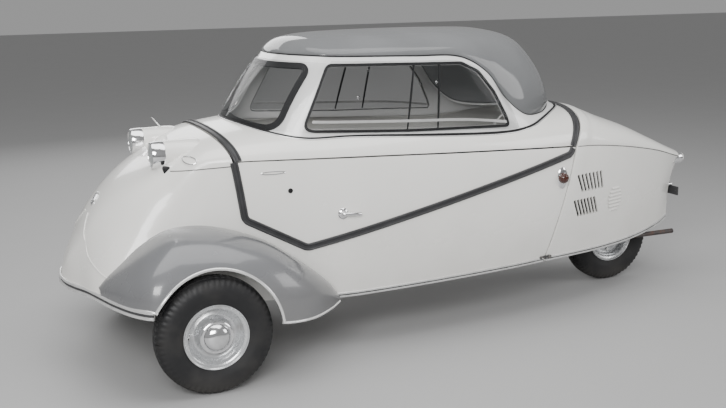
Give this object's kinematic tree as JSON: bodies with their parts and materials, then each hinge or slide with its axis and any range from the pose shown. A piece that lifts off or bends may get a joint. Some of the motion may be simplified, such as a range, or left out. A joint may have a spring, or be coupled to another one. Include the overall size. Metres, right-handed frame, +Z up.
{
  "type": "three-wheeled bubble car",
  "caption": "Three-wheeled tandem bubble car with a side-swinging bubble canopy, opening tail, steered front wheels and a single driven rear wheel.",
  "frame": {"origin": "on the floor, under the middle of the car", "axes": "+X to the nose, +Y to the driver's left, +Z up"},
  "size_m": [2.819, 1.22, 1.2],
  "materials": {
    "ivory_paint": "gloss enamel",
    "underbody": "rough underseal",
    "grey_paint": "gloss enamel",
    "bright_trim": "polished",
    "chrome": "mirror chrome",
    "dark_moulding": "satin",
    "lamp_plastic": "moulded lens",
    "interior_panel": "grained vinyl",
    "seat_cover": "stitched vinyl",
    "black_steel": "satin black",
    "black_grip": "moulded grip",
    "white_paint": "gloss enamel",
    "clear_glass": "polished",
    "smoked_dome": "smoked acrylic",
    "tyre_rubber": "treaded",
    "silver_wheel": "silver lacquer",
    "cast_alloy": "as cast",
    "bare_steel": "heat stained"
  },
  "bodies": {
    "body": {"nose_shell": "ivory_paint", "left_body_side": "ivory_paint", "right_body_side": "ivory_paint", "floor_pan": "underbody", "left_front_wing": "grey_paint", "right_front_wing": "grey_paint", "nose_trim": "bright_trim", "left_headlamp": "chrome", "right_headlamp": "chrome", "side_mouldings": "dark_moulding", "side_lamps": "lamp_plastic", "door_handle": "chrome", "dashboard": "interior_panel", "front_seat": "seat_cover", "rear_seat": "seat_cover", "rear_bulkhead": "interior_panel", "steering_column": "black_steel", "front_axle": "black_steel", "swing_arm": "black_steel", "engine_block": "cast_alloy", "exhaust": "bare_steel"},
    "canopy": {"canopy_skirt": "ivory_paint", "canopy_frame": "white_paint", "windscreen": "clear_glass", "side_windows": "clear_glass", "dome": "smoked_dome", "canopy_moulding": "dark_moulding", "wiper": "chrome"},
    "tail_cover": {"tail_shell": "ivory_paint", "tail_lamps": "lamp_plastic", "plate_lamp": "black_steel"},
    "steering": {"steering_bar": "black_grip"},
    "left_knuckle": {"left_knuckle": "black_steel"},
    "right_knuckle": {"right_knuckle": "black_steel"},
    "track_rod": {"track_rod": "black_steel"},
    "left_front_wheel": {"left_tyre": "tyre_rubber", "left_wheel": "silver_wheel", "left_hubcap": "chrome"},
    "right_front_wheel": {"right_tyre": "tyre_rubber", "right_wheel": "silver_wheel", "right_hubcap": "chrome"},
    "rear_wheel": {"rear_tyre": "tyre_rubber", "rear_wheel": "silver_wheel"}
  },
  "joints": [
    {"name": "canopy_hinge", "type": "hinge", "parent": "body", "child": "canopy", "pos_m": [0, -0.424, 0.738], "axis": [1, 0, 0], "range_deg": [0, 75]},
    {"name": "tail_hinge", "type": "hinge", "parent": "body", "child": "tail_cover", "pos_m": [-0.752, 0, 0.838], "axis": [0, 1, 0], "range_deg": [0, 55]},
    {"name": "left_steer", "type": "hinge", "parent": "body", "child": "left_knuckle", "pos_m": [0.97, 0.465, 0.2075], "axis": [0, 0, 1], "range_deg": [-25, 25]},
    {"name": "right_steer", "type": "hinge", "parent": "body", "child": "right_knuckle", "pos_m": [0.97, -0.465, 0.2075], "axis": [0, 0, 1], "range_deg": [-25, 25]},
    {"name": "bar_turn", "type": "hinge", "parent": "body", "child": "steering", "pos_m": [0.52, 0, 0.66], "axis": [-0.788, 0, 0.6157], "range_deg": [-25, 25]},
    {"name": "rod_swing", "type": "hinge", "parent": "left_knuckle", "child": "track_rod", "pos_m": [0.884, 0.465, 0.1575], "axis": [0, 0, 1], "range_deg": [-25, 25]},
    {"name": "left_front_spin", "type": "hinge", "parent": "left_knuckle", "child": "left_front_wheel", "pos_m": [0.97, 0.54, 0.2075], "axis": [0, 1, 0], "continuous": true},
    {"name": "right_front_spin", "type": "hinge", "parent": "right_knuckle", "child": "right_front_wheel", "pos_m": [0.97, -0.54, 0.2075], "axis": [0, 1, 0], "continuous": true},
    {"name": "rear_spin", "type": "hinge", "parent": "body", "child": "rear_wheel", "pos_m": [-1.057, 0, 0.2075], "axis": [0, 1, 0], "continuous": true}
  ],
  "couplings": [
    {"joint": "right_steer", "follows": "left_steer", "ratio": 1},
    {"joint": "bar_turn", "follows": "left_steer", "ratio": 1},
    {"joint": "rod_swing", "follows": "left_steer", "ratio": -1}
  ]
}
